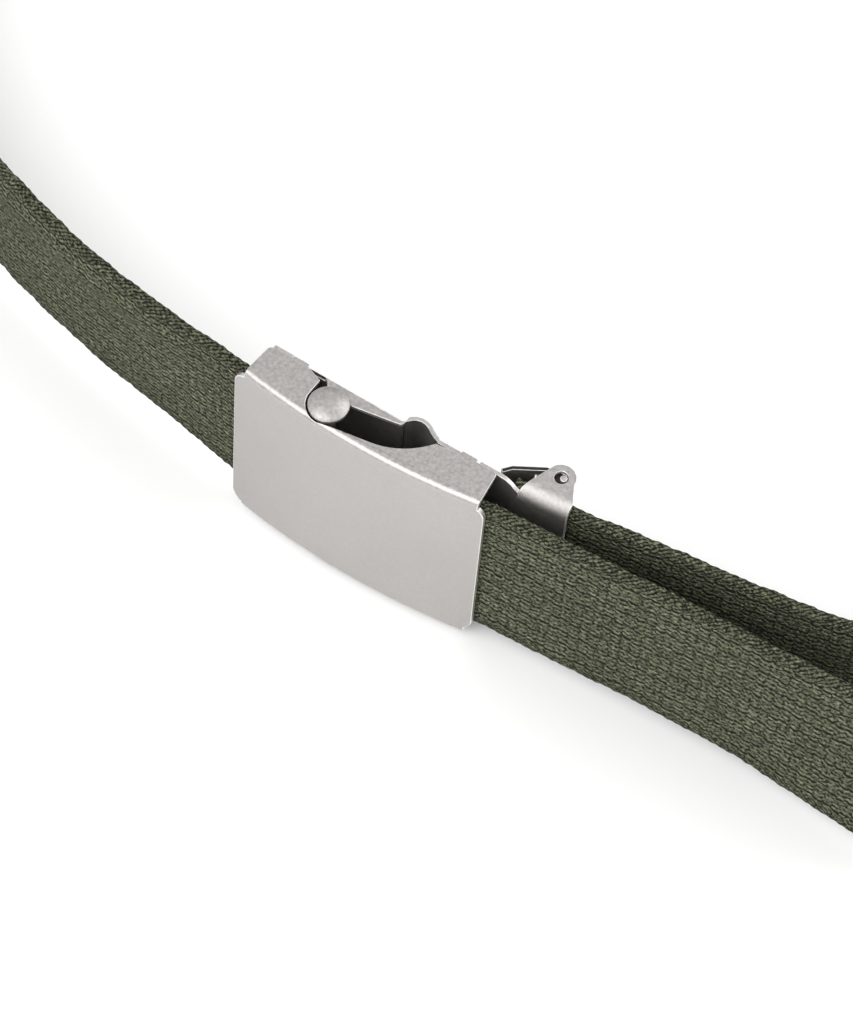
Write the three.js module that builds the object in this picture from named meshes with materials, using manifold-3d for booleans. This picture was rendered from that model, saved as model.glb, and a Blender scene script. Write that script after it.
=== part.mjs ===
// Canvas web belt with a box frame buckle, fastened as a closed loop and standing on its lower edge.
// Millimetres, +Z up. The wearer stands inside the loop, the buckle faces -Y, +X is to the right.
// Buckle sizes are measured from the crown of its front plate: x across, y back, z from mid height.

import * as THREE from 'three';
import { mergeVertices } from 'three/addons/utils/BufferGeometryUtils.js';
import Module from 'manifold-3d';

const wasm = await Module();
wasm.setup();

// Buckle frame: one sheet, bowed in front, its two flanges folded back
const plate_length = 50;
const plate_height = 43.5;
const frame_sheet = 0.9;
const bow_radius = 147;
const fold_radius = 1.3;
const flange_depth = 8.95;
const plate_corner = 3.1;
const left_inset = 2.1;
const right_inset = 1.25;
const flange_slant = 0.5;
const left_back_corner = 1.1;
const right_back_corner = 0.5;
const notch_depth = 0.9;
const tab_length = 3.2;
const tab_easing = 0.2;
const tab_short = 0.4;
const right_tab = 17.6;
const hook_drop = 1.15;
const hook_lip = 0.12;
const crescent_lead = 4.75;
const crescent_run = 5.2;
const crescent_sweep = 3.6;
const crescent_plan = [0.75, 1.6, 2.6];
const crescent_end_drop = 0.75;
const recess_end_drop = 0.3;

// Back plate: slot ears folded forward, a pocket for the roller and the fixed jaw of the clamp
const back_sheet = 0.8;
const slot_ear_fold = 1;
const jaw_fold = 3.2;
const rim_start = 1;
const rim_spread = 0.1;
const slot_ear_start = -14.2;
const slot_ear_end = 4.75;
const slot_ear_relief = -0.15;
const ear_shoulder = -11.3;
const ear_nose = -9.05;
const nose_run = 1.4;
const nose_drop = 0.45;
const pocket_lead = 0.75;
const pocket_length = 7.25;
const pocket_depth = 1.76;
const rim_drop = 0.8;
const low_rim_drop = 1.3;
const throat_length = 3.75;
const throat_dip = 0.4;
const throat_drop = 1.1;
const jaw_length = 9.1;
const jaw_rise = 0.85;
const hinge_back = 5.35;
const hinge_across = 4.8;
const hinge_hole = 2.5;
const ear_round = 2.6;
const ear_foot = 0.9;

// Clamp lever on pips in the ears of the fixed jaw
const lever_sheet = 0.8;
const lever_barrel = 3;
const lever_pip = 1.3;
const pip_across = 0.4;
const pip_back = 0.15;
const pip_short = 0.15;
const tooth_row = 4.4;
const tooth_root = 0.15;
const tooth_count = 9;
const tooth_width = 0.7;

// Roller: a round bar with a low domed head at each end
const roller_x = -7.6;
const roller_back = 4.55;
const roller_diameter = 2.6;
const head_diameter = 7.2;
const head_rim = 0.65;
const head_dome = 0.9;
const ramp_slope = 0.176;
const ramp_gap = 0.5;
const head_clearance = 0.35;

// Webbing: one strap from the clamp round the waist, through the box and on to its free end
const web_width = 37.6;
const web_thickness = 2.2;
const web_edge = 0.5;
const pinched_thickness = 1.5;
const loop_width = 346;
const loop_depth = 244;
const free_end = 84;
const web_step = 9;

// Fits
const crimp_gap = 0.15;
const seat_gap = 0.3;
const slip_gap = 0.4;
const floor_gap = 0.3;

// Plan of the loop: shares of half the loop's width and of its depth, with the height of the strap
// over the floor as a share of its height at the buckle, and how far its top leans back
const loop_plan = [
  { across: -0.256, back: 0.0335, height: 0.95, lean: -0.09 },
  { across: -0.366, back: 0.0475, height: 0.9, lean: -0.09 },
  { across: -0.494, back: 0.0735, height: 0.8, lean: -0.065 },
  { across: -0.64, back: 0.118, height: 0.6, lean: -0.03 },
  { across: -0.8, back: 0.205, height: 0.35, lean: -0.01 },
  { across: -0.941, back: 0.356, height: 0.1, lean: 0 },
  { across: -1, back: 0.555, height: 0, lean: 0 },
  { across: -0.866, back: 0.778, height: 0, lean: 0 },
  { across: -0.5, back: 0.94, height: 0, lean: 0 },
  { across: 0, back: 1, height: 0, lean: 0 },
  { across: 0.5, back: 0.94, height: 0, lean: 0 },
  { across: 0.866, back: 0.773, height: 0, lean: 0 },
  { across: 1, back: 0.53, height: 0, lean: 0 },
  { across: 0.941, back: 0.337, height: 0.1, lean: 0 },
  { across: 0.8, back: 0.196, height: 0.35, lean: 0 },
  { across: 0.64, back: 0.118, height: 0.6, lean: 0 },
  { across: 0.494, back: 0.08, height: 0.8, lean: -0.02 },
  { across: 0.3, back: 0.058, height: 0.95, lean: -0.02 },
];

// Plan of the free end: shares of its length, how far it stands behind the plate's end, and its lean
const free_plan = [
  { along: 1, back: 2.5, lean: 0.1 },
  { along: 0.85, back: 2.6, lean: 0.07 },
  { along: 0.62, back: 2.7, lean: 0.01 },
  { along: 0.4, back: 2.1, lean: 0 },
  { along: 0.14, back: 0.7, lean: 0 },
];

// Plan of the pocket: shares of its length and of its depth
const pocket_plan = [
  [0, 0],
  [0.11, 0.24],
  [0.18, 0.58],
  [0.27, 0.85],
  [0.41, 1],
  [0.54, 0.96],
  [0.66, 0.75],
  [0.78, 0.43],
  [0.89, 0.16],
  [1, 0],
];

// Plan of the lever's strip: how far across and how far back of the hinge its middle line stands
const lever_plan = [
  [-9.35, -3.75],
  [-8.15, -2.28],
  [-3.2, 0.75],
  [0, 1.1],
];

// Sizes that follow from the driving ones
const half_length = plate_length / 2;
const half_height = plate_height / 2;
const inner_half = half_height - frame_sheet;
const ear_half = inner_half;
const back_front = flange_depth + crimp_gap;
const back_face = back_front + back_sheet;
const ear_back = back_face + slot_ear_relief;
const tab_end = back_face - tab_short;
const left_tab = slot_ear_start - seat_gap - tab_length / 2;
const rim_top = half_height - rim_drop;
const pocket_start = slot_ear_end - pocket_lead;
const pocket_end = pocket_start + pocket_length;
const roller_radius = roller_diameter / 2;
const head_radius = head_diameter / 2;
const head_under = ear_half + seat_gap;
const head_top = head_under + head_rim + head_dome;
const cut_radius = head_radius + head_clearance;
const web_half = web_width / 2;
const box_height = head_top + floor_gap;
const box_start = left_inset - half_length;
const box_end = half_length - right_inset;
const throat_x = box_end + throat_length;
const jaw_end = throat_x + jaw_length;
const jaw_front_at_throat = back_front - throat_dip;
const hinge_x = throat_x + hinge_across;
const hinge_y = jaw_front_at_throat + back_sheet + hinge_back;
const clamp_line = jaw_front_at_throat + jaw_rise + back_sheet + seat_gap + web_thickness / 2;
const origin_back = (loop_depth + web_thickness / 2) / 2;

// Depth of the bowed plate's outer face behind its crown
function bow(x) {
  return bow_radius - Math.sqrt(bow_radius ** 2 - x ** 2);
}

// Front edge of the slot ears, the ramp that the roller runs on
function ramp(x) {
  const slope_length = Math.hypot(1, ramp_slope);
  const offset = (roller_radius + ramp_gap) * slope_length;
  return roller_back + ramp_slope * (x - roller_x) + offset;
}

// Front face of the fixed jaw: it comes forward at the throat and falls back to its end
function jawFront(x) {
  const share = (x - throat_x) / jaw_length;
  return jaw_front_at_throat + jaw_rise * share ** 1.5;
}

function solidFrom(geometry) {
  const bare = geometry.clone();
  bare.deleteAttribute('normal');
  bare.deleteAttribute('uv');
  const merged = mergeVertices(bare, 1e-5);
  const vertProperties = new Float32Array(merged.attributes.position.array);
  const triVerts = new Uint32Array(merged.index.array);
  return new wasm.Manifold(new wasm.Mesh({ numProp: 3, vertProperties, triVerts }));
}

function geometryFrom(solid) {
  const mesh = solid.getMesh();
  const geometry = new THREE.BufferGeometry();
  geometry.setAttribute('position', new THREE.BufferAttribute(mesh.vertProperties, 3));
  geometry.setIndex(new THREE.BufferAttribute(mesh.triVerts, 1));
  return geometry;
}

// Upright solid over an outline in plan
function upright(shape, bottom, top, curveSegments = 10) {
  const depth = top - bottom;
  const geometry = new THREE.ExtrudeGeometry(shape, { depth, bevelEnabled: false, curveSegments });
  geometry.translate(0, 0, bottom);
  return solidFrom(geometry);
}

// The same solid at the top and, mirrored, at the bottom
function uprightPair(shape, bottom, top) {
  return upright(shape, bottom, top).add(upright(shape, -top, -bottom));
}

// Solid through rings of points with equal counts, closed by flat ends. A ring runs anticlockwise
// seen from the ring after it, and the outline is its plane form.
function loft(rings, outline) {
  const count = rings[0].length;
  const position = rings.flat().flatMap((point) => [point.x, point.y, point.z]);
  const index = [];
  for (let ring = 0; ring + 1 < rings.length; ring += 1) {
    for (let side = 0; side < count; side += 1) {
      const a = ring * count + side;
      const b = ring * count + ((side + 1) % count);
      index.push(a, b, b + count, a, b + count, a + count);
    }
  }
  const last = (rings.length - 1) * count;
  for (const [a, b, c] of THREE.ShapeUtils.triangulateShape(outline, [])) {
    index.push(a, c, b, last + a, last + b, last + c);
  }
  const geometry = new THREE.BufferGeometry();
  geometry.setAttribute('position', new THREE.Float32BufferAttribute(position, 3));
  geometry.setIndex(index);
  return geometry;
}

// Section of a folded sheet, as [depth, height] points: a web with a leg folded back at each end
function channelOutline(half, legs, sheet, fold) {
  const steps = 5;
  const outer = [];
  const inner = [];
  for (let step = 0; step <= steps; step += 1) {
    const angle = (step / steps) * (Math.PI / 2);
    const across = 1 - Math.sin(angle);
    const along = 1 - Math.cos(angle);
    const inner_fold = fold - sheet;
    outer.push([fold * across, half - fold * along]);
    inner.push([sheet + inner_fold * across, half - sheet - inner_fold * along]);
  }
  const top_outer = [[legs, half], ...outer];
  const top_inner = [[legs, half - sheet], ...inner];
  const mirrored = (points) => points.map(([depth, height]) => [depth, -height]);
  return [
    ...top_outer,
    ...mirrored(top_outer).reverse(),
    ...mirrored(top_inner),
    ...top_inner.slice().reverse(),
  ];
}

// Folded sheet lofted across x: stations give where its face stands, legs point to side 1 or -1
function foldedSheet({ stations, half, legs_to, sheet, fold, side = 1 }) {
  let outline = null;
  const rings = stations.map(([x, face]) => {
    const legs = (legs_to - face) * side;
    const points = channelOutline(half, legs, sheet, fold);
    outline = outline ?? points.map(([depth, height]) => new THREE.Vector2(depth, height));
    return points.map(([depth, height]) => new THREE.Vector3(x, face + side * depth, height));
  });
  const ordered = side > 0 ? rings : rings.slice().reverse();
  return solidFrom(loft(ordered, outline));
}

// Outline of a sheet that follows a path in plan, as wide as the sheet is thick. Square ends are
// cut straight across x, others straight across the path.
function ribbon(path, sheet, square_ends = false) {
  const left = [];
  const right = [];
  path.forEach(([x, y], index) => {
    const [px, py] = path[Math.max(index - 1, 0)];
    const [nx, ny] = path[Math.min(index + 1, path.length - 1)];
    const is_end = index === 0 || index === path.length - 1;
    const rise = square_ends && is_end ? 0 : ny - py;
    const length = Math.hypot(nx - px, rise);
    const side_x = (-rise / length) * (sheet / 2);
    const side_y = ((nx - px) / length) * (sheet / 2);
    left.push(new THREE.Vector2(x + side_x, y + side_y));
    right.unshift(new THREE.Vector2(x - side_x, y - side_y));
  });
  return new THREE.Shape([...left, ...right]);
}

function polygon(points) {
  return new THREE.Shape(points.map(([x, y]) => new THREE.Vector2(x, y)));
}

function evenly(from, to, count) {
  return Array.from({ length: count + 1 }, (_, index) => from + ((to - from) * index) / count);
}

// Cut-out in each flange: a step and a hook round the roller's head, then a long crescent
function flangeCut() {
  const step_x = slot_ear_start - seat_gap;
  const hook_x = roller_x - cut_radius;
  const crescent_start = roller_x + crescent_lead;
  const crescent_end = pocket_end + seat_gap;
  const recess_end = right_tab - tab_length / 2 - seat_gap;
  const front = roller_back - cut_radius;
  const [lead_in, rise, sag] = crescent_plan.map((back) => front + back);
  const beyond = flange_depth + 5;
  const shape = new THREE.Shape();
  shape.moveTo(step_x, beyond);
  shape.lineTo(step_x, flange_depth);
  shape.lineTo(hook_x + hook_lip, flange_depth - hook_drop);
  shape.lineTo(hook_x, roller_back);
  shape.absarc(roller_x, roller_back, cut_radius, Math.PI, Math.PI * 1.5, false);
  shape.lineTo(crescent_start, lead_in);
  shape.lineTo(crescent_start + crescent_run, rise);
  shape.quadraticCurveTo(crescent_end - crescent_sweep, sag, crescent_end, flange_depth - crescent_end_drop);
  shape.lineTo(recess_end, flange_depth - recess_end_drop);
  shape.lineTo(recess_end, beyond);
  shape.closePath();
  return shape;
}

// What is cut from an end of each flange: it stands in from the plate, leans in towards the back
// and has a round corner there
function flangeEnd(side, end, corner) {
  const front = bow(half_length) + frame_sheet;
  const back = end - side * flange_slant;
  const beyond = side * (half_length + 2);
  const round = evenly(0, Math.PI / 2, 4).map((angle) => [
    back - side * corner * (1 - Math.cos(angle)),
    flange_depth - corner * (1 - Math.sin(angle)),
  ]);
  return polygon([
    [beyond, front],
    [end, front],
    ...round,
    [back - side * corner, flange_depth + 3],
    [beyond, flange_depth + 3],
  ]);
}

// Tab of a flange, staked flush into a notch of the back plate
function stakedTab(centre, side) {
  const outline = polygon([
    [centre - tab_length / 2, flange_depth - 1],
    [centre + tab_length / 2, flange_depth - 1],
    [centre + tab_length / 2, tab_end - tab_easing],
    [centre + tab_length / 2 - tab_easing, tab_end],
    [centre - tab_length / 2 + tab_easing, tab_end],
    [centre - tab_length / 2, tab_end - tab_easing],
  ]);
  const tab = upright(outline, inner_half, half_height);
  return side > 0 ? tab : tab.mirror([0, 0, 1]);
}

// Solid over an outline in the plane of the plate, from a depth in front to one behind
function through(shape, front, back, curveSegments = 6) {
  const depth = back - front;
  const geometry = new THREE.ExtrudeGeometry(shape, { depth, bevelEnabled: false, curveSegments });
  geometry.rotateX(Math.PI / 2);
  geometry.translate(0, back, 0);
  return solidFrom(geometry);
}

// Outline that rounds the plate's corners as far as the flanges' ends
function roundedPlate() {
  const top = half_height + 1;
  const x = half_length - plate_corner;
  const z = half_height - fold_radius - plate_corner;
  const right = Math.acos(1 - right_inset / plate_corner);
  const left = Math.acos(1 - left_inset / plate_corner);
  const shape = new THREE.Shape();
  shape.moveTo(box_start, -top);
  shape.lineTo(box_end, -top);
  shape.absarc(x, -z, plate_corner, -right, 0, false);
  shape.absarc(x, z, plate_corner, 0, right, false);
  shape.lineTo(box_end, top);
  shape.lineTo(box_start, top);
  shape.absarc(-x, z, plate_corner, Math.PI - left, Math.PI, false);
  shape.absarc(-x, -z, plate_corner, Math.PI, Math.PI + left, false);
  shape.closePath();
  return through(shape, -1, flange_depth + 5);
}

function buckleFrame() {
  const stations = evenly(-half_length, half_length, 24).map((x) => [x, bow(x)]);
  let frame = foldedSheet({
    stations,
    half: half_height,
    legs_to: flange_depth,
    sheet: frame_sheet,
    fold: fold_radius,
  });
  for (const centre of [left_tab, right_tab]) {
    frame = frame.add(stakedTab(centre, 1)).add(stakedTab(centre, -1));
  }
  const beyond = half_height + 1;
  frame = frame.subtract(uprightPair(flangeCut(), inner_half - 0.2, beyond));
  frame = frame.subtract(upright(flangeEnd(-1, box_start, left_back_corner), -beyond, beyond));
  frame = frame.subtract(upright(flangeEnd(1, box_end, right_back_corner), -beyond, beyond));
  return frame.intersect(roundedPlate());
}

// Middle line of the back plate in plan, from the box's left end to the fixed jaw
function backPath() {
  const line = back_front + back_sheet / 2;
  const pocket = pocket_plan.map(([along, depth]) => {
    return [pocket_start + pocket_length * along, line + pocket_depth * depth];
  });
  return [
    [box_start + rim_start, line + rim_spread],
    [left_tab, line + rim_spread / 2],
    [slot_ear_start, line],
    ...pocket,
    [box_end + throat_length * 0.6, line],
    [throat_x, jaw_front_at_throat + back_sheet / 2],
  ];
}

// Ears folded forward over the slot, each with the ramp as its front edge
function slotEars() {
  const rise = pocket_depth * pocket_plan[1][1];
  const channel = foldedSheet({
    stations: [[slot_ear_start, ear_back], [pocket_start, ear_back], [slot_ear_end, ear_back + rise]],
    half: ear_half,
    legs_to: ramp(slot_ear_start) - 1,
    sheet: back_sheet,
    fold: slot_ear_fold,
    side: -1,
  });
  const outline = polygon([
    [slot_ear_start, ear_back + 1],
    [slot_ear_start, back_front + tab_easing],
    [ear_shoulder, back_front + tab_easing],
    [ear_nose - nose_run, back_front - nose_drop],
    [ear_nose, ramp(ear_nose)],
    [slot_ear_end - slip_gap, ramp(slot_ear_end - slip_gap)],
    [slot_ear_end, back_front],
    [slot_ear_end, ear_back + 1],
  ]);
  return channel.intersect(upright(outline, -half_height, half_height));
}

// Fixed jaw with an ear folded back at the top and the bottom, bored for the lever's pips
function fixedJaw() {
  const channel = foldedSheet({
    stations: evenly(throat_x, jaw_end, 6).map((x) => [x, jawFront(x)]),
    half: ear_half,
    legs_to: hinge_y + ear_round + 1,
    sheet: back_sheet,
    fold: jaw_fold,
  });
  const tip = new THREE.Shape();
  tip.moveTo(throat_x - 0.5, jaw_front_at_throat - 1);
  tip.lineTo(jaw_end + 0.5, jaw_front_at_throat - 1);
  tip.lineTo(jaw_end + 0.5, jawFront(jaw_end) + ear_foot);
  tip.lineTo(hinge_x + ear_round, hinge_y);
  tip.absarc(hinge_x, hinge_y, ear_round, 0, Math.PI * 0.93, false);
  tip.lineTo(throat_x - 0.1, jaw_front_at_throat + back_sheet);
  tip.closePath();
  const hole = new THREE.Shape();
  hole.absarc(hinge_x, hinge_y, hinge_hole / 2, 0, Math.PI * 2, false);
  const jaw = channel.intersect(upright(tip, -half_height, half_height));
  return jaw.subtract(upright(hole, -half_height, half_height));
}

// Box across the part between two places, from a height up, and its mirror image below
function cutAbove(from_x, to_x, height) {
  const outline = polygon([
    [from_x, back_front - 3],
    [to_x, back_front - 3],
    [to_x, back_face + 3],
    [from_x, back_face + 3],
  ]);
  return uprightPair(outline, height, half_height + 1);
}

// What is cut from the back plate's edge where it dips from the box's end to the throat
function throatCut() {
  const low = ear_half - throat_drop;
  const middle = box_end + throat_length / 2;
  const shape = new THREE.Shape();
  shape.moveTo(box_end, rim_top);
  shape.bezierCurveTo(middle, rim_top, middle, low, throat_x, low);
  shape.lineTo(throat_x + 1, low);
  shape.lineTo(throat_x + 1, half_height + 1);
  shape.lineTo(box_end, half_height + 1);
  shape.closePath();
  return through(shape, back_front - 3, back_face + 3);
}

function backPlate() {
  let plate = upright(ribbon(backPath(), back_sheet, true), -rim_top, rim_top);
  plate = plate.subtract(cutAbove(left_tab, slot_ear_end, ear_half - slot_ear_fold));
  plate = plate.subtract(cutAbove(pocket_end, right_tab, half_height - low_rim_drop));
  plate = plate.subtract(throatCut()).subtract(throatCut().mirror([0, 0, 1]));
  plate = plate.add(slotEars()).add(fixedJaw());
  for (const centre of [left_tab, right_tab]) {
    const half = tab_length / 2 + seat_gap;
    plate = plate.subtract(cutAbove(centre - half, centre + half, inner_half - notch_depth));
  }
  return plate;
}

// Clamp lever: a bent strip from its barrel to a toothed tip, with a pip at each end of the barrel
function clampLever() {
  const half = ear_half - back_sheet - slip_gap;
  const path = lever_plan.map(([across, back]) => [hinge_x + across, hinge_y + back]);
  const barrel = new THREE.CylinderGeometry(lever_barrel / 2, lever_barrel / 2, 2 * half, 20);
  barrel.rotateX(Math.PI / 2);
  barrel.translate(hinge_x, hinge_y, 0);
  const pip_length = 2 * (ear_half - pip_short);
  const pips = new THREE.CylinderGeometry(lever_pip / 2, lever_pip / 2, pip_length, 16);
  pips.rotateX(Math.PI / 2);
  pips.translate(hinge_x + pip_across, hinge_y + pip_back, 0);
  let lever = upright(ribbon(path, lever_sheet), -half, half).add(solidFrom(barrel)).add(solidFrom(pips));
  const pitch = (2 * half) / tooth_count;
  for (let tooth = 0; tooth < tooth_count; tooth += 1) {
    lever = lever.add(leverTooth(-half + pitch * (tooth + 0.5), pitch * tooth_width));
  }
  return lever;
}

// One tooth on the lever's inner face: a wedge that narrows towards the webbing
function leverTooth(height, width) {
  const root = hinge_y + tooth_root;
  const tip = clamp_line + web_thickness / 2 + seat_gap;
  const wedge = new THREE.ConeGeometry(width / Math.SQRT2, root - tip, 4);
  wedge.rotateY(Math.PI / 4);
  wedge.rotateZ(Math.PI);
  wedge.scale(lever_sheet / width, 1, 1);
  wedge.translate(hinge_x - tooth_row, (root + tip) / 2, height);
  return solidFrom(wedge);
}

function roller() {
  const profile = [new THREE.Vector2(0, -head_top)];
  const dome = evenly(0, 1, 5).map((share) => share * head_radius);
  const crown = (r) => head_dome * (1 - (r / head_radius) ** 2);
  dome.slice(1).forEach((r) => profile.push(new THREE.Vector2(r, -(head_under + head_rim + crown(r)))));
  profile.push(new THREE.Vector2(head_radius, -head_under));
  profile.push(new THREE.Vector2(roller_radius, -head_under));
  const upper = profile.map((point) => new THREE.Vector2(point.x, -point.y)).reverse();
  const geometry = new THREE.LatheGeometry([...profile, ...upper], 32);
  geometry.rotateX(Math.PI / 2);
  geometry.translate(roller_x, roller_back, 0);
  return solidFrom(geometry);
}

// Stations of the strap, from its free end through the box, round the waist and into the clamp
function strapStations() {
  const behind_plate = (x) => bow(x) + frame_sheet + seat_gap + web_thickness / 2;
  const end_line = behind_plate(half_length);
  const pinch_back = roller_back - roller_radius - seat_gap;
  const full = { height: 1, lean: 0, thickness: web_thickness };
  const free = free_plan.map(({ along, back, lean }) => ({
    ...full,
    x: half_length + free_end * along,
    y: end_line + back,
    lean,
  }));
  const box = [1, 0.75, 0.5, 0.25, 0].map((share) => {
    const x = share * half_length;
    return { ...full, x, y: behind_plate(x) };
  });
  const pinch = {
    ...full,
    x: roller_x,
    y: pinch_back - pinched_thickness / 2,
    thickness: pinched_thickness,
  };
  const entry = [
    { ...full, x: -half_length * 0.62, y: behind_plate(half_length * 0.62) + 0.4, lean: -0.02 },
    { ...full, x: -half_length, y: end_line + 0.95, lean: -0.045 },
  ];
  const loop = loop_plan.map(({ across, back, height, lean }) => ({
    x: (across * loop_width) / 2,
    y: back * loop_depth,
    height,
    lean,
    thickness: web_thickness,
  }));
  const clamp = [
    { ...full, x: jaw_end + 1, y: clamp_line },
    { ...full, x: hinge_x, y: clamp_line - 0.25 },
    { ...full, x: throat_x - 1.6, y: clamp_line - 0.65 },
  ];
  return [...free, ...box, pinch, ...entry, ...loop, ...clamp];
}

// Points of the strap's section: half a width up and down, with its edges eased
function strapSection({ height, lean, thickness }) {
  const low = web_half - box_height;
  const middle = low * (1 - height);
  const t = thickness / 2;
  const eased = Math.max(t - web_edge, 0.3);
  const points = [
    [eased, -web_half],
    [t, -web_half + web_edge],
    [t, web_half - web_edge],
    [eased, web_half],
    [-eased, web_half],
    [-t, web_half - web_edge],
    [-t, -web_half + web_edge],
    [-eased, -web_half],
  ];
  return points.map(([out, up]) => new THREE.Vector2(out + lean * up, up + middle));
}

function strap() {
  const stations = strapStations();
  const plan = stations.map(({ x, y }) => new THREE.Vector3(x, y, 0));
  const curve = new THREE.CatmullRomCurve3(plan, false, 'centripetal');
  const spans = stations.length - 1;
  const rings = [];
  let outline = null;
  for (let span = 0; span < spans; span += 1) {
    const from = stations[span];
    const to = stations[span + 1];
    const steps = Math.ceil(Math.hypot(to.x - from.x, to.y - from.y) / web_step);
    const last = span === spans - 1 ? steps : steps - 1;
    for (let step = 0; step <= last; step += 1) {
      const share = step / steps;
      const mix = (name) => from[name] + (to[name] - from[name]) * share;
      const at = curve.getPoint((span + share) / spans);
      const tangent = curve.getTangent((span + share) / spans);
      const section = { height: mix('height'), lean: mix('lean'), thickness: mix('thickness') };
      const points = strapSection(section);
      outline = outline ?? points;
      rings.push(points.map(({ x: out, y: up }) => {
        return new THREE.Vector3(at.x + tangent.y * out, at.y - tangent.x * out, up);
      }));
    }
  }
  return loft(rings.reverse(), outline);
}

const steel = new THREE.MeshStandardMaterial({ color: 0xb9b6b1, roughness: 0.42, metalness: 0.9 });
const bare_steel = new THREE.MeshStandardMaterial({ color: 0xaaa7a3, roughness: 0.36, metalness: 0.9 });
const canvas = new THREE.MeshStandardMaterial({ color: 0x4f5443, roughness: 0.95, metalness: 0 });

function named(name, geometry, material) {
  const mesh = new THREE.Mesh(geometry, material);
  mesh.name = name;
  return mesh;
}

const buckle = new THREE.Group();
buckle.add(named('buckle_frame', geometryFrom(buckleFrame()), steel));
buckle.add(named('back_plate', geometryFrom(backPlate()), bare_steel));
buckle.add(named('clamp_lever', geometryFrom(clampLever()), bare_steel));
buckle.add(named('roller', geometryFrom(roller()), steel));

const belt = new THREE.Group();
belt.add(buckle);
belt.add(named('strap', geometryFrom(solidFrom(strap())), canvas));
belt.position.set(0, -origin_back, box_height);

export default belt;
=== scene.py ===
"""Canvas web belt with a roller buckle: the looks of every piece, the floor, the light and the camera."""

import math

import bpy
from bpy.props import FloatProperty, FloatVectorProperty, PointerProperty
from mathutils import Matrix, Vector, noise


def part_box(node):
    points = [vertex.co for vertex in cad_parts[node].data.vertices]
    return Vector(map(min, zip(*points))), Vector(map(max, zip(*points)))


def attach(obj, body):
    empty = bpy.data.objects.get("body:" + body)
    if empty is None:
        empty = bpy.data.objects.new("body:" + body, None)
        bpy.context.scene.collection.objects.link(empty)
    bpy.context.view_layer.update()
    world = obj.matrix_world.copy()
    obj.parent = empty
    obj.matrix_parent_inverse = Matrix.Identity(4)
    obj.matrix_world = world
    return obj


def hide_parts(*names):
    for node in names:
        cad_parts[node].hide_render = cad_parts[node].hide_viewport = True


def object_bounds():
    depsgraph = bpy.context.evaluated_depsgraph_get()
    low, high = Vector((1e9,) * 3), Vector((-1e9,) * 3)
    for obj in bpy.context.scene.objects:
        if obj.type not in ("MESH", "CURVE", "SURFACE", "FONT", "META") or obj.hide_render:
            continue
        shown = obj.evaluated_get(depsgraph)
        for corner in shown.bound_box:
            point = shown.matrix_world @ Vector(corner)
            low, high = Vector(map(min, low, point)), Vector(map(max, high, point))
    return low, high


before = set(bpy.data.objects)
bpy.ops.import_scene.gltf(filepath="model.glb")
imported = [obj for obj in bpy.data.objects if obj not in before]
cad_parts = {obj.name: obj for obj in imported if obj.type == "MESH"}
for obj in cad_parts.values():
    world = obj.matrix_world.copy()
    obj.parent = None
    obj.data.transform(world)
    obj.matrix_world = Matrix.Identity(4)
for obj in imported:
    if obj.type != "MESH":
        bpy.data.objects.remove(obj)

bl_info = {
    "name": "Canvas Web Belt",
    "version": (1, 0, 0),
    "blender": (4, 5, 0),
    "location": "View3D > Sidebar > Belt",
    "description": "Builds a canvas web belt with its roller buckle, fastened as a loop",
    "category": "Object",
}

MM = 0.001
CAD_LOW, CAD_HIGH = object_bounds()
FRAME_LOW, FRAME_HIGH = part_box("buckle_frame")
ROLLER_LOW, ROLLER_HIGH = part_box("roller")
CROWN_Y = FRAME_LOW.y
MIDDLE_Z = (FRAME_LOW.z + FRAME_HIGH.z) / 2
NEAR = 0.03 * MM

# Bent sheets: radius of the bow, thickness and folds of the frame, of the back plate's ears and jaw,
# the lever's hinge with the radius and the height inside which a face lies down in its holes and gets painted
# shade
BOW_RADIUS = 147 * MM
FRAME_SHEET, FRAME_FOLD = 0.9 * MM, 1.3 * MM
BACK_SHEET, SLOT_EAR_FOLD, JAW_FOLD = 0.8 * MM, 1 * MM, 3.2 * MM
SLOT_EAR_SPAN, SLOT_EAR_BACK = (-14.2 * MM, 4.75 * MM), 9.75 * MM
HINGE_X, HINGE_Y, RECESS_RADIUS, RECESS_TOP = 32.3 * MM, 14.85 * MM, 1.6 * MM, 20 * MM
THROAT_X, JAW_LENGTH, JAW_FRONT, JAW_RISE = 27.5 * MM, 9.1 * MM, 8.7 * MM, 0.85 * MM

# Plan of the loop: shares of half the loop's width and of its depth, the height of the strap over
# the floor as a share of its height at the buckle, and how far its top leans back
LOOP_PLAN = (
    (-0.256, 0.0335, 0.95, -0.09),
    (-0.366, 0.0475, 0.9, -0.09),
    (-0.494, 0.0735, 0.8, -0.065),
    (-0.64, 0.118, 0.6, -0.03),
    (-0.8, 0.205, 0.35, -0.01),
    (-0.941, 0.356, 0.1, 0),
    (-1, 0.555, 0, 0),
    (-0.866, 0.778, 0, 0),
    (-0.5, 0.94, 0, 0),
    (0, 1, 0, 0),
    (0.5, 0.94, 0, 0),
    (0.866, 0.773, 0, 0),
    (1, 0.53, 0, 0),
    (0.941, 0.337, 0.1, 0),
    (0.8, 0.196, 0.35, 0),
    (0.64, 0.118, 0.6, 0),
    (0.494, 0.08, 0.8, -0.02),
    (0.3, 0.058, 0.95, -0.02),
)
# Plan of the free end: shares of its length, millimetres behind the plate's end, and lean
FREE_PLAN = ((1, 2.5, 0.1), (0.85, 2.6, 0.07), (0.62, 2.7, 0.01), (0.4, 2.1, 0), (0.14, 0.7, 0))

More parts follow.
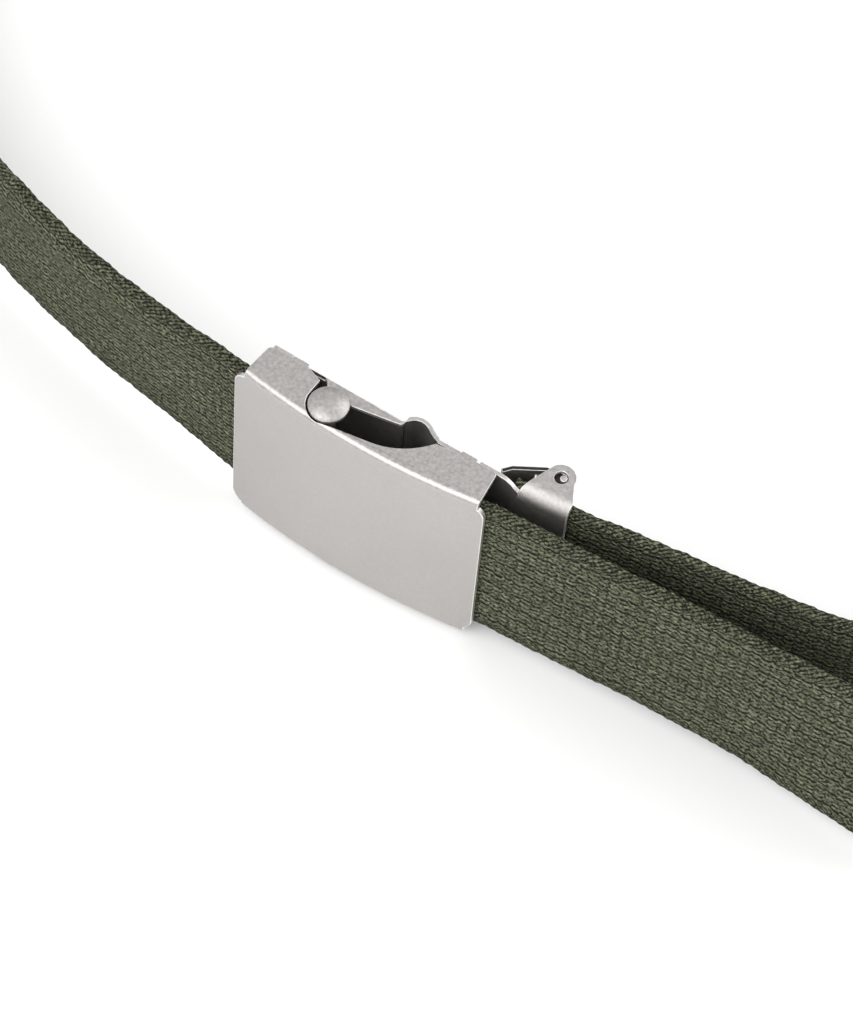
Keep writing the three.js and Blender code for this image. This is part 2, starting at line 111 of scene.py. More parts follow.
# Line of the strap in the buckle: gap to the plate, shares of half the plate's length where it lies along
# the plate, the face that the roller presses, its entry (share, millimetres back, lean) and the clamp
PLATE_GAP, ROLLER_FACE = 0.3 * MM, 2.95 * MM
INSIDE_PLAN = (1, 0.75, 0.5, 0.25, 0)
ENTRY_PLAN = ((-0.62, 0.4, -0.02), (-1, 0.95, -0.045))
CLAMP_LINE, CLAMP_PLAN = 11.75 * MM, ((37.6, 0), (32.3, 0.25), (25.9, 0.65))

# Points of the strap's mesh: spacing round the woven edges and along the far loop, and the lengths past
# the free end and before the clamp that are closely spaced
EDGE_STEP, FAR_STEP, SPAN_PARTS = 0.4 * MM, 1.3 * MM, 24
CLOSE_PAST_END, CLOSE_BEFORE_CLAMP = 0.121, 0.085

# Surface of the strap: swelling and wander of the woven edges, how far they may pass the width below and
# above, and the soft ridge along the strap left of the buckle
LOOP_SWELL, ROUGH_SWELL, EDGE_WANDER = 0.06 * MM, 0.2 * MM, 0.25 * MM
EDGE_FROM, PAST_BELOW, PAST_ABOVE = 1.6 * MM, 0.15 * MM, 0.2 * MM
RIDGE, RIDGE_DOWN, RIDGE_WIDTH = 0.75 * MM, 6.5 * MM, 4 * MM
RIDGE_GROWS, RIDGE_FADES = (0.052, 0.08), (0.4, 0.5)

# Woven pattern: shift of every second rib and sag of its yarns in rows; on the edges the share of a loop
# that a float takes, the rows of floats, their half length, half height and slant
RIB_SHIFT, YARN_SAG, YARNS_A_GAP = 0.33, 0.22, 3.0
EDGE_FLOAT, EDGE_ROW, EDGE_HALF, EDGE_LOW, EDGE_SLANT = 2 / 3, 0.9 * MM, 0.5 * MM, 0.42 * MM, -0.3

# Scales of the cloth's and the steel's unevenness, in features a metre
WANDER_SCALE, GAP_SCALE, FUZZ_SCALE, FIBRE_SCALE, BLOTCH_SCALE = 560.0, 260.0, 1900.0, 1150.0, 70.0
GRAIN_SCALE, MOTTLE_SCALE, CLOUD_SCALE = 5200.0, 1500.0, 60.0

# Sheet metal and roller: merging distance, flatness, sharpness and smoothing angles, how squarely a face
# looks along its sheet, the steps of the roller head's dome and the rounding of its rim
MERGE, FLAT, SHARP, SMOOTH = 0.002 * MM, math.radians(0.2), math.radians(35), math.radians(45)
SQUARELY = 0.95
DOME_STEPS = (0.97, 0.9, 0.8, 0.66, 0.5, 0.34, 0.18, 0.07)
RIM_ROUND = 0.15 * MM

# Stage: softboxes as size and place, the height that they look at, the rises between which the even light
# grows, and the camera's sensor in millimetres
FRONT_BOX = (1.4, 1.6), (-0.29, -1.17, 1.36)
BACK_BOX = (1.5, 1.5), (0.9, 1.1, 1.15)
LIGHT_AIM = 20 * MM
HAZE = (0.1, 0.3)
SENSOR = 36


class WebbingSettings(bpy.types.PropertyGroup):
    """Sizes and colours of the strap"""

    width: FloatProperty(name="Width", description="Width of the webbing", default=0.0376, unit="LENGTH")
    thickness: FloatProperty(name="Thickness", description="Thickness of the webbing", default=0.0022,
                             unit="LENGTH")
    pinched: FloatProperty(name="Pinched", description="Thickness beside the roller", default=0.0015,
                           unit="LENGTH")
    edge_round: FloatProperty(name="Edge round", description="Rounding of the woven edges", default=0.0008,
                              unit="LENGTH")
    loop_width: FloatProperty(name="Loop width", description="Width of the loop in plan", default=0.346,
                              unit="LENGTH")
    loop_depth: FloatProperty(name="Loop depth", description="Depth of the loop in plan", default=0.244,
                              unit="LENGTH")
    free_end: FloatProperty(name="Free end", description="Length of strap past the buckle", default=0.084,
                            unit="LENGTH")
    rib: FloatProperty(name="Rib", description="Width of the ribs that cross the webbing", default=0.0019,
                       unit="LENGTH")
    yarn: FloatProperty(name="Yarn", description="Spacing of the yarns across the webbing", default=0.00132,
                        unit="LENGTH")
    edge_band: FloatProperty(name="Edge band", description="Width of the woven edge", default=0.003,
                             unit="LENGTH")
    edge_loop: FloatProperty(name="Edge loop", description="Spacing of the loops along the edges",
                             default=0.00175, unit="LENGTH")
    relief: FloatProperty(name="Relief", description="Height of the floats over the gaps", default=0.0007,
                          unit="LENGTH")
    colour: FloatVectorProperty(name="Colour", description="Colour of the yarn", subtype="COLOR", size=3,
                                default=(0.144, 0.154, 0.095))
    # Painted shade: a near-black colour that stands for the shade deep in the gaps between yarns
    gap_shade_colour: FloatVectorProperty(name="Gap colour", description="Colour in the gaps between yarns",
                                    subtype="COLOR", size=3, default=(0.012, 0.013, 0.008))


class SteelSettings(bpy.types.PropertyGroup):
    """Finish of the buckle"""

    colour: FloatVectorProperty(name="Colour", description="Colour of the satin steel", subtype="COLOR",
                                size=3, default=(0.442, 0.424, 0.41))
    # Painted highlight: a near-white colour laid on the cut edges as if they caught the light
    cut_highlight_colour: FloatVectorProperty(name="Cut colour", description="Colour of the cut edges",
                                    subtype="COLOR", size=3, default=(0.86, 0.84, 0.82))
    roughness: FloatProperty(name="Roughness", description="Roughness of the satin steel", default=0.4,
                             min=0, max=1)
    grain: FloatProperty(name="Grain", description="Depth of the blasted grain", default=0.000008,
                         unit="LENGTH")
    edge_round: FloatProperty(name="Edge round", description="Rounding of the cut edges", default=0.00012,
                              unit="LENGTH")
    head_dome: FloatProperty(name="Head dome", description="Height of the roller's domed head",
                             default=0.0009, unit="LENGTH")
    head_rim: FloatProperty(name="Head rim", description="Height of the roller head's rim", default=0.00065,
                            unit="LENGTH")
    bar_diameter: FloatProperty(name="Bar diameter", description="Diameter of the roller's bar",
                                default=0.0026, unit="LENGTH")


class StageSettings(bpy.types.PropertyGroup):
    """Floor, light and camera"""

    floor_size: FloatProperty(name="Floor size", description="Side of the square floor", default=6,
                              unit="LENGTH")
    floor_colour: FloatVectorProperty(name="Floor colour", description="Colour of the floor",
                                      subtype="COLOR", size=3, default=(0.97, 0.97, 0.97))
    sky: FloatProperty(name="Sky", description="Strength of the even light from all round", default=0.95,
                       min=0)
    skyline: FloatProperty(name="Skyline", description="Strength of that light low over the floor",
                           default=0.5, min=0)
    front_light: FloatProperty(name="Front light", description="Power of the front softbox", default=18,
                               unit="POWER")
    back_light: FloatProperty(name="Back light", description="Power of the back softbox", default=10.5,
                              unit="POWER")
    lens: FloatProperty(name="Lens", description="Focal length in millimetres", default=140.625, min=1)
    camera_place: FloatVectorProperty(name="Camera place", description="Where the camera stands",
                                      subtype="TRANSLATION", size=3,
                                      default=(0.176773, -0.431232, 0.612869))
    camera_turn: FloatVectorProperty(name="Camera turn", description="Rotation of the camera",
                                     subtype="EULER", size=3,
                                     default=tuple(math.radians(a) for a in (31.056, -2.923, 32.452)))


def settings():
    return bpy.context.scene.belt_webbing, bpy.context.scene.belt_steel, bpy.context.scene.belt_stage


def select_only(obj):
    bpy.ops.object.select_all(action="DESELECT")
    obj.select_set(True)
    bpy.context.view_layer.objects.active = obj


def new_piece(name, mesh):
    """Add a mesh to the scene as the one selected object"""
    mesh.name = name
    piece = bpy.data.objects.new(name, mesh)
    bpy.context.scene.collection.objects.link(piece)
    select_only(piece)
    return piece


def add_modifier(obj, kind, **values):
    """Give an object a modifier and apply it"""
    modifier = obj.modifiers.new(kind.title(), kind)
    for name, value in values.items():
        setattr(modifier, name, value)
    select_only(obj)
    bpy.ops.object.modifier_apply(modifier=modifier.name)


class Nodes:
    """Short ways to add and join a material's nodes"""

    def __init__(self, name):
        self.material = bpy.data.materials.new(name)
        self.material.use_nodes = True
        self.tree = self.material.node_tree
        self.shader = self.tree.nodes["Principled BSDF"]

    def add(self, kind, inputs=(), **values):
        node = self.tree.nodes.new(kind)
        for name, value in values.items():
            setattr(node, name, value)
        for index, value in enumerate(inputs):
            if value is not None:
                self.set(node.inputs[index], value)
        return node

    def set(self, socket, value):
        if isinstance(value, bpy.types.NodeSocket):
            self.tree.links.new(value, socket)
        elif isinstance(value, bpy.types.Node):
            self.tree.links.new(value.outputs[0], socket)
        else:
            socket.default_value = value

    def maths(self, operation, *inputs, clamp=False):
        return self.add("ShaderNodeMath", inputs, operation=operation, use_clamp=clamp)

    def mix(self, factor, first, second):
        """A colour between two others"""
        node = self.add("ShaderNodeMix", data_type="RGBA")
        for name, value in (("Factor", factor), ("A", first), ("B", second)):
            sockets = [s for s in node.inputs if s.name == name and s.enabled]
            self.set(sockets[0], value)
        return [s for s in node.outputs if s.enabled][0]

    def noise(self, vector, scale, detail=2.0, roughness=0.5):
        node = self.add("ShaderNodeTexNoise")
        self.set(node.inputs["Vector"], vector)
        node.inputs["Scale"].default_value = scale
        node.inputs["Detail"].default_value = detail
        node.inputs["Roughness"].default_value = roughness
        return node.outputs["Fac"]

    def span(self, value, low, high, to_low=0.0, to_high=1.0):
        """A value carried from one span of numbers to another, and kept inside it"""
        return self.add("ShaderNodeMapRange", (value, low, high, to_low, to_high), clamp=True).outputs[0]

    def floats(self, along, across, pitch, rows, length, height, slant, shift):
        """One set of lens-shaped floats: its relief and a chance number for each float"""
        column = self.maths("MULTIPLY_ADD", along, 1 / pitch, shift)
        x = self.maths("SUBTRACT", self.maths("FRACT", column), 0.5)
        place = self.maths("MULTIPLY_ADD", across, 1 / rows, shift)
        row = self.maths("MULTIPLY_ADD", x, slant * pitch / rows, place)
        row = self.maths("MULTIPLY_ADD", self.maths("MULTIPLY", x, x), 0.5, row)
        y = self.maths("SUBTRACT", self.maths("FRACT", row), 0.5)
        number, level = self.maths("FLOOR", column), self.maths("FLOOR", row)
        cell = self.add("ShaderNodeCombineXYZ", (number, level, shift))
        chance = self.add("ShaderNodeTexWhiteNoise", noise_dimensions="3D")
        self.set(chance.inputs["Vector"], cell)
        long_part = self.maths("MULTIPLY", self.maths("MULTIPLY", x, x), (pitch / length) ** 2)
        off = self.maths("MULTIPLY_ADD", self.maths("MULTIPLY", y, y), (rows / height) ** 2, long_part)
        raised = self.maths("MULTIPLY_ADD", chance.outputs["Value"], 0.35, 0.82)
        return self.maths("SUBTRACT", raised, off), chance.outputs["Value"]

    def weave(self, along, across, pitch, rows, length, height, slant):
        """Two sets of floats, the second in the gaps of the first"""
        first, first_chance = self.floats(along, across, pitch, rows, length, height, slant, 0.0)
        second, second_chance = self.floats(along, across, pitch, rows, length, height, slant, 0.5)
        above = self.maths("GREATER_THAN", second, first)
        chance = self.blend(above, first_chance, second_chance)
        return self.maths("MAXIMUM", first, second), chance

    def cells(self, along, across, pitch, rows):
        """Ribs across the webbing, each a stack of sagging yarns with a deep gap after every third one"""
        column = self.maths("DIVIDE", along, pitch)
        number = self.maths("FLOOR", column)
        side = self.maths("MULTIPLY_ADD", self.maths("FRACT", column), 2.0, -1.0)
        bend = self.maths("MULTIPLY", side, side)
        odd = self.maths("MODULO", number, 2.0)
        shifted = self.maths("MULTIPLY_ADD", odd, RIB_SHIFT, self.maths("DIVIDE", across, rows))
        row = self.maths("MULTIPLY_ADD", bend, YARN_SAG, shifted)
        cell = self.add("ShaderNodeCombineXYZ", (number, self.maths("FLOOR", row), 0.0))
        chance = self.add("ShaderNodeTexWhiteNoise", noise_dimensions="2D")
        self.set(chance.inputs["Vector"], cell)
        y = self.maths("SUBTRACT", self.maths("FRACT", row), 0.5)
        yarn = self.maths("MULTIPLY_ADD", self.maths("MULTIPLY", y, y), -3.0, 1.0)
        triple = self.maths("FRACT", self.maths("DIVIDE", row, YARNS_A_GAP))
        third = self.maths("ABSOLUTE", self.maths("SUBTRACT", triple, 0.5))
        gap = self.maths("MULTIPLY", self.span(third, 0.41, 0.46), self.span(bend, 0.1, 0.85, 1.0, 0.1))
        gap = self.maths("MULTIPLY", gap, self.span(chance.outputs["Value"], 0.0, 0.8, 0.25, 1.25))
        rib = self.maths("MULTIPLY_ADD", bend, -0.28, yarn)
        return rib, gap, chance.outputs["Value"]

    def blend(self, factor, first, second):
        """A number between two others"""
        return self.add("ShaderNodeMix", (factor, None, first, second), data_type="FLOAT")

    def scaled(self, colour, tone_and_painted_light):
        """A colour times a number"""
        grey = self.add("ShaderNodeCombineXYZ", (tone_and_painted_light, tone_and_painted_light, tone_and_painted_light))
        return self.add("ShaderNodeVectorMath", (tuple(colour), grey), operation="MULTIPLY")

    def bump(self, height, distance):
        """Relief of the surface"""
        bump = self.add("ShaderNodeBump")
        bump.inputs["Strength"].default_value = 1.0
        bump.inputs["Distance"].default_value = distance
        self.set(bump.inputs["Height"], height)
        self.set(self.shader.inputs["Normal"], bump)


def rgba(colour):
    return tuple(colour) + (1.0,)


def yarn_places(n, uv, web):
    """Lengths along the strap and round it, a little unsettled, and the distance from the edge's middle"""
    wander = n.add("ShaderNodeTexNoise")
    n.set(wander.inputs["Vector"], uv)
    wander.inputs["Scale"].default_value = WANDER_SCALE
    wander.inputs["Detail"].default_value = 1.5
    offset = n.add("ShaderNodeVectorMath", (wander.outputs["Color"], (0.5, 0.5, 0.5)), operation="SUBTRACT")
    reach = (1.0 * MM, 0.7 * MM, 0.0)
    moved = n.add("ShaderNodeVectorMath", (offset, reach, uv), operation="MULTIPLY_ADD")
    parts = n.add("ShaderNodeSeparateXYZ", (moved,))
    along, across = parts.outputs[0], parts.outputs[1]
    return along, across, n.maths("PINGPONG", across, round_length(web) / 4)


def webbing_material():
    """Ribbed canvas with small floats along its edges and loose fibres, with painted shade in the gaps, in
    the low parts of the floats and on the woven edges
    """
    web, _, _ = settings()
    n = Nodes("olive_webbing")
    uv = n.add("ShaderNodeUVMap", uv_map="weave").outputs[0]
    along, across, from_edge = yarn_places(n, uv, web)

    face, gap, face_chance = n.cells(along, across, web.rib, web.yarn)
    pitch = web.edge_loop * EDGE_FLOAT
    edge, edge_chance = n.weave(along, from_edge, pitch, EDGE_ROW, EDGE_HALF, EDGE_LOW, EDGE_SLANT)
    uneven = n.span(n.noise(uv, GAP_SCALE, 1.0), 0.4, 0.56, 0.35, 1.0)
    face = n.maths("SUBTRACT", face, n.maths("MULTIPLY", gap, uneven))
    on_edge = n.span(from_edge, web.edge_band, web.edge_band - EDGE_STEP)
    height = n.blend(on_edge, face, n.maths("MULTIPLY", edge, 1.15))
    height = n.maths("SUBTRACT", height, n.span(n.noise(uv, FUZZ_SCALE, 2.0), 0.44, 0.66, 0, 0.8))
    chance = n.blend(on_edge, face_chance, edge_chance)

    stretched = n.add("ShaderNodeMapping")
    n.set(stretched.inputs["Vector"], uv)
    stretched.inputs["Scale"].default_value = (1.0, 2.2, 1.0)
    fibre = n.noise(stretched, FIBRE_SCALE, 2.0, 0.6)
    blotch = n.noise(uv, BLOTCH_SCALE, 3.0, 0.6)
    tone_and_painted_light = n.maths("ADD", n.span(chance, 0, 1, 0.8, 1.2), n.span(fibre, 0.38, 0.62, -0.6, 0.85))
    tone_and_painted_light = n.maths("MULTIPLY", tone_and_painted_light, n.span(blotch, 0.3, 0.7, 0.9, 1.1))
    # Painted shade: the woven edges are made 14% darker, for light that falls more from the front than from
    # above
    tone_and_painted_light = n.maths("MULTIPLY", tone_and_painted_light, n.span(on_edge, 0, 1, 1, 0.86))
    # Painted shade: low parts of the floats darker and high parts lighter, as if shaded in the hollows
    tone_and_painted_light = n.maths("MULTIPLY", tone_and_painted_light, n.span(height, 0.1, 0.9, 0.55, 1.2))
    # Painted shade: where the relief is lowest the colour goes over to the near-black gap shade
    colour = n.mix(n.span(height, 0.0, 0.3), rgba(web.gap_shade_colour), n.scaled(web.colour, tone_and_painted_light))
    n.set(n.shader.inputs["Base Color"], colour)
    n.shader.inputs["Roughness"].default_value = 0.95
    n.shader.inputs["Specular IOR Level"].default_value = 0.1
    n.shader.inputs["Sheen Weight"].default_value = 0.03
    n.shader.inputs["Sheen Roughness"].default_value = 0.6
    n.bump(n.maths("MULTIPLY_ADD", fibre, 0.9, height), web.relief)
    return n.material


def steel_material(name, colour, roughness):
    """Blasted steel, mottled where it lies flat, with painted light: upright faces a little lighter, painted
    highlights on the cut edges and painted shade in recesses
    """
    _, steel, _ = settings()
    n = Nodes(name)
    place = n.add("ShaderNodeTexCoord").outputs["Object"]
    facing = n.add("ShaderNodeSeparateXYZ", (n.add("ShaderNodeNewGeometry").outputs["Normal"],))
    lying = n.maths("ABSOLUTE", facing.outputs[2])
    fine = n.noise(place, GRAIN_SCALE, 2.0, 0.6)
    mottle = n.noise(place, MOTTLE_SCALE, 2.5, 0.6)
    cloud = n.noise(place, CLOUD_SCALE, 3.0, 0.5)
    depth = n.span(lying, 0.3, 0.9, 0.05, 0.2)
    speck = n.span(fine, 0.3, 0.7, 0.975, 1.025)
    tone_and_painted_light = n.maths("MULTIPLY_ADD", n.span(mottle, 0.28, 0.72, -1, 1), depth, speck)
    tone_and_painted_light = n.maths("MULTIPLY", tone_and_painted_light, n.span(cloud, 0.3, 0.7, 0.98, 1.02))
    # Painted light: faces that stand upright are made 6% brighter than faces that lie flat
    tone_and_painted_light = n.maths("MULTIPLY", tone_and_painted_light, n.span(lying, 0.2, 0.9, 1.06, 1.0))
    cut = n.add("ShaderNodeAttribute", attribute_name="cut").outputs["Fac"]
    # Painted shade: faces marked -1, the barrel's ends down in the ears' holes, are made almost black
    body = n.scaled(colour, n.maths("MULTIPLY", tone_and_painted_light, n.span(cut, -1, 0, 0.1, 1)))
    # Painted highlight: cut edges, and the faces marked like them, take the near-white colour, less where
    # they lie flat
    painted_highlight = n.maths("MULTIPLY", cut, n.span(lying, 0.85, 0.97, 1, 0.12), clamp=True)
    n.set(n.shader.inputs["Base Color"], n.mix(painted_highlight, body, n.scaled(steel.cut_highlight_colour, tone_and_painted_light)))
    n.shader.inputs["Metallic"].default_value = 1.0
    satin = n.span(mottle, 0.3, 0.7, roughness - 0.03, roughness + 0.04)
    n.set(n.shader.inputs["Roughness"], satin)
    n.bump(n.maths("MULTIPLY_ADD", mottle, 2.0, fine), steel.grain)
    return n.material


def satin_steel():
    """Finish of the frame and the roller, made once"""
    _, steel, _ = settings()
    known = bpy.data.materials.get("satin_steel")
    return known or steel_material("satin_steel", steel.colour, steel.roughness)


def bare_steel():
    """The slightly duller finish of the back plate and the lever"""
    _, steel, _ = settings()
    duller = [c * 0.97 for c in steel.colour]
    return steel_material("bare_steel", duller, steel.roughness + 0.1)


def knot_rate(first, second):
    """Knot spacing of a centripetal curve between two stations"""
    return max(math.hypot(second[0] - first[0], second[1] - first[1]) ** 0.5, 1e-4)


def curve_through(stations, span, share):
    """Value and slope of every channel on the smooth curve through the stations"""
    p1, p2 = stations[span], stations[span + 1]
    p0 = stations[span - 1] if span > 0 else [2 * a - b for a, b in zip(p1, p2)]
    p3 = stations[span + 2] if span + 2 < len(stations) else [2 * b - a for a, b in zip(p1, p2)]
    d0, d1, d2 = knot_rate(p0, p1), knot_rate(p1, p2), knot_rate(p2, p3)
    values, slopes = [], []
    for x0, x1, x2, x3 in zip(p0, p1, p2, p3):
        t1 = ((x1 - x0) / d0 - (x2 - x0) / (d0 + d1) + (x2 - x1) / d1) * d1
        t2 = ((x2 - x1) / d1 - (x3 - x1) / (d1 + d2) + (x3 - x2) / d2) * d1
        c2 = -3 * x1 + 3 * x2 - 2 * t1 - t2
        c3 = 2 * x1 - 2 * x2 + t1 + t2
        values.append(x1 + share * (t1 + share * (c2 + share * c3)))
        slopes.append(t1 + share * (2 * c2 + share * 3 * c3))
    return values, slopes


def strap_stations():
    """Stations from the free end to the clamp: x, y from the plate's crown, height, lean, thickness"""
    web, _, _ = settings()
    half_length = (FRAME_HIGH.x - FRAME_LOW.x) / 2
    roller_x = (ROLLER_LOW.x + ROLLER_HIGH.x) / 2
    full = web.thickness

    def behind_plate(x):
        return bow(x) + FRAME_SHEET + PLATE_GAP + full / 2

    end_line = behind_plate(half_length)
    free = [(half_length + web.free_end * s, end_line + b * MM, 1, lean, full) for s, b, lean in FREE_PLAN]
    inside = [(s * half_length, behind_plate(s * half_length), 1, 0, full) for s in INSIDE_PLAN]
    pinch = [(roller_x, ROLLER_FACE - web.pinched / 2, 1, 0, web.pinched)]
    entry = [(s * half_length, behind_plate(s * half_length) + b * MM, 1, lean, full)
             for s, b, lean in ENTRY_PLAN]
    loop = [(a * web.loop_width / 2, b * web.loop_depth, h, lean, full) for a, b, h, lean in LOOP_PLAN]
    clamp = [(x * MM, CLAMP_LINE - rise * MM, 1, 0, full) for x, rise in CLAMP_PLAN]
    return free + inside + pinch + entry + loop + clamp


def round_length(web):
    """Length round the webbing's section"""
    r, t = web.edge_round, web.thickness / 2
    return 2 * (web.width - 2 * r) + 2 * (math.pi * r + 2 * (t - r))


def strap_outline(web, thickness):
    """Points round the section: out, up, their outward direction and their distance from the edge's middle"""
    half, t, r = web.width / 2, thickness / 2, min(web.edge_round, thickness * 0.45)
    turn = round_length(web) / 4 - (half - r)
    inner = half - web.edge_band - EDGE_STEP
    edge_rows, face_rows = 9, 10
    ups = [half - r - EDGE_STEP * k for k in range(edge_rows)]
    ups += [inner * (1 - 2 * k / (face_rows + 1)) for k in range(1, face_rows + 1)]
    ups += [-u for u in reversed(ups[:edge_rows])]
    points = []
    for side in (1, -1):
        for up in reversed(ups):
            points.append((side * t, side * up, side, 0, half - r - abs(up) + turn))
        for step in (-2.5, -1.5, -0.5, 0.5, 1.5, 2.5):
            angle = math.pi * (0.5 + step / 7)
            out, rise = math.cos(angle), math.sin(angle)
            middle = math.copysign(t - r, -step)
            points.append((side * (middle + r * out), side * (half - r + r * rise), side * out, side * rise,
                           abs(step) / 3.5 * turn))
    return points


def sampled_path(stations):
    """Close samples of the strap's line with the length travelled to each"""
    samples = []
    for span in range(len(stations) - 1):
        for part in range(SPAN_PARTS):
            samples.append(curve_through(stations, span, part / SPAN_PARTS))
    samples.append(curve_through(stations, len(stations) - 2, 1.0))
    lengths = [0.0]
    for (a, _), (b, _) in zip(samples, samples[1:]):
        lengths.append(lengths[-1] + math.hypot(b[0] - a[0], b[1] - a[1]))
    return samples, lengths


def ring_places(web, total):
    """Lengths along the strap at which it gets a ring: close together near the buckle"""
    front, clamped = web.free_end + CLOSE_PAST_END, total - CLOSE_BEFORE_CLAMP
    close = web.edge_loop / 4
    places = [0.0]
    while places[-1] < total - close:
        step = close if places[-1] < front or places[-1] > clamped else FAR_STEP
        places.append(places[-1] + step)
    places[-1] = total
    return places


def eased(value, low, high):
    """Share of the way from low to high, with a soft start and end"""
    share = min(max((value - low) / (high - low), 0), 1)
    return share * share * (3 - 2 * share)


def ring_points(web, at, values, slopes):
    """One ring of the strap round its section, with the loops of its woven edges and its soft waves"""
    x, y, height, lean, thickness = values
    size = math.hypot(slopes[0], slopes[1])
    sx, sy = slopes[0] / size, slopes[1] / size
    drop = (MIDDLE_Z - web.width / 2) * min(max(1 - height, 0), 1)
    half = web.width / 2
    left = eased(at - web.free_end, *RIDGE_GROWS) * (1 - eased(at, *RIDGE_FADES))
    points = []
    for out, up, out_way, up_way, from_edge in strap_outline(web, thickness):
        top = 1 if up > 0 else -1
        near = 1 - eased(from_edge, EDGE_FROM, web.edge_band + EDGE_STEP)
        lobe = math.cos(2 * math.pi * at / web.edge_loop + 2.1 * top)
        rough = noise.noise(Vector((at * 420, top * 5.0, from_edge * 300)))
        swell = near * (LOOP_SWELL * lobe + ROUGH_SWELL * rough)
        wander = near * EDGE_WANDER * noise.noise(Vector((at * 70, top * 3.0, 0.4)))
        ridge = RIDGE * left * math.exp(-((up - half + RIDGE_DOWN) / RIDGE_WIDTH) ** 2)
        out += swell * out_way - ridge
        up = min(max(up + swell * up_way + wander * top, -half - PAST_BELOW), half + PAST_ABOVE)
        leaned = out + lean * up
        points.append((x + sy * leaned, CROWN_Y + y - sx * leaned, MIDDLE_Z + up - drop))
    return points


def strap_points(web, samples, lengths, places):
    """Points of every ring along the strap"""
    points = []
    index = 0
    for at in places:
        while index < len(lengths) - 2 and lengths[index + 1] < at:
            index += 1
        share = (at - lengths[index]) / (lengths[index + 1] - lengths[index])
        (v0, s0), (v1, s1) = samples[index], samples[index + 1]
        values = [a + (b - a) * share for a, b in zip(v0, v1)]
        slopes = [a + (b - a) * share for a, b in zip(s0, s1)]
        points += ring_points(web, at, values, slopes)
    return points


def round_places(web, outline):
    """Distance of each outline point round the section, from the middle of the upper edge"""
    rounds = [0.0]
    for a, b in zip(outline, outline[1:] + outline[:1]):
        rounds.append(rounds[-1] + math.hypot(b[0] - a[0], b[1] - a[1]))
    middle = next(k for k, point in enumerate(outline) if point[2] < 0.3)
    shift = rounds[middle - 1] + (rounds[middle] - rounds[middle - 1]) / 2
    return [(r - shift) * round_length(web) / rounds[-1] for r in rounds]


def strap_mesh(web, samples, lengths):
    """Mesh of the strap with its weave coordinates: length along it and distance round it"""
    places = ring_places(web, lengths[-1])
    outline = strap_outline(web, web.thickness)
    rounds = round_places(web, outline)
    size = len(outline)
    faces, weave = [], []
    for ring in range(len(places) - 1):
        for k in range(size):
            a, b = ring * size + k, ring * size + (k + 1) % size
            faces.append((b, a, a + size, b + size))
            u0, u1, v0, v1 = places[ring], places[ring + 1], rounds[k], rounds[k + 1]
            weave += [(u0, v1), (u0, v0), (u1, v0), (u1, v1)]
    last = (len(places) - 1) * size
    faces.append(tuple(range(size)))
    faces.append(tuple(last + k for k in reversed(range(size))))
    weave += [(places[0], r) for r in rounds[:-1]]
    weave += [(places[-1], r) for r in reversed(rounds[:-1])]
    mesh = bpy.data.meshes.new("strap_webbing")
    mesh.from_pydata(strap_points(web, samples, lengths, places), [], faces)
    layer = mesh.uv_layers.new(name="weave")
    layer.data.foreach_set("uv", [c for pair in weave for c in pair])
    mesh.update()
    return mesh


def make_strap():
    """The whole strap, and the length that it has when flat"""
    web, _, _ = settings()
    samples, lengths = sampled_path(strap_stations())
    strap = new_piece("strap_webbing", strap_mesh(web, samples, lengths))
    bpy.ops.object.mode_set(mode="EDIT")
    bpy.ops.mesh.select_all(action="SELECT")
    bpy.ops.mesh.normals_make_consistent(inside=False)
    bpy.ops.object.mode_set(mode="OBJECT")
    bpy.ops.object.shade_smooth_by_angle(angle=math.radians(60))
    return strap, lengths[-1]


def bow(x):
    """Depth of the bowed plate's outer face behind its crown"""
    return BOW_RADIUS - math.sqrt(BOW_RADIUS ** 2 - x ** 2)


def slot_ear_back(x):
    """Depth of the flat back plate behind the crown"""
    return SLOT_EAR_BACK


def jaw_front(x):
    """Depth of the jaw's front face behind the crown"""
    return JAW_FRONT + JAW_RISE * max((x - THROAT_X) / JAW_LENGTH, 0) ** 1.5


class BentSheet:
    """Sheet with a web at a depth behind the crown and a leg folded to one side at its top and bottom"""

    def __init__(self, span, face, half, fold, sheet, side=1, starts=-1):
        self.span, self.face, self.half, self.fold = span, face, half, fold
        self.sheet, self.side, self.starts = sheet, side, starts

    def depth(self, point):
        return (point.y - CROWN_Y - self.face(point.x)) * self.side

    def covers(self, point):
        return self.span[0] - NEAR <= point.x <= self.span[1] + NEAR and self.depth(point) > self.starts

    def direction(self, point):
        """Direction of the sheet's faces at a point on one of them"""
        depth, height = self.depth(point), point.z - MIDDLE_Z
        reach = self.fold - depth
        rise = abs(height) - (self.half - self.fold)
        slope = (self.face(point.x + NEAR) - self.face(point.x - NEAR)) / (2 * NEAR)
        web = Vector((slope, -1, 0)).normalized() * self.side
        if reach > 0 and rise > 0:
            off, away = math.hypot(reach, rise) - self.fold, Vector((0, 0, math.copysign(rise, height)))
            way = (web * reach + away).normalized()
        elif rise > 0:
            off, way = rise - self.fold, Vector((0, 0, 1))
        else:
            off, way = -depth, web
        return way if min(abs(off), abs(off + self.sheet)) < NEAR else None


def in_recess(polygon):
    """Whether a face is the end of the lever's barrel, down in the holes of the ears, where it gets painted
    shade
    """
    across, back = polygon.center.x - HINGE_X, polygon.center.y - CROWN_Y - HINGE_Y
    return math.hypot(across, back) < RECESS_RADIUS and abs(polygon.center.z - MIDDLE_Z) < RECESS_TOP


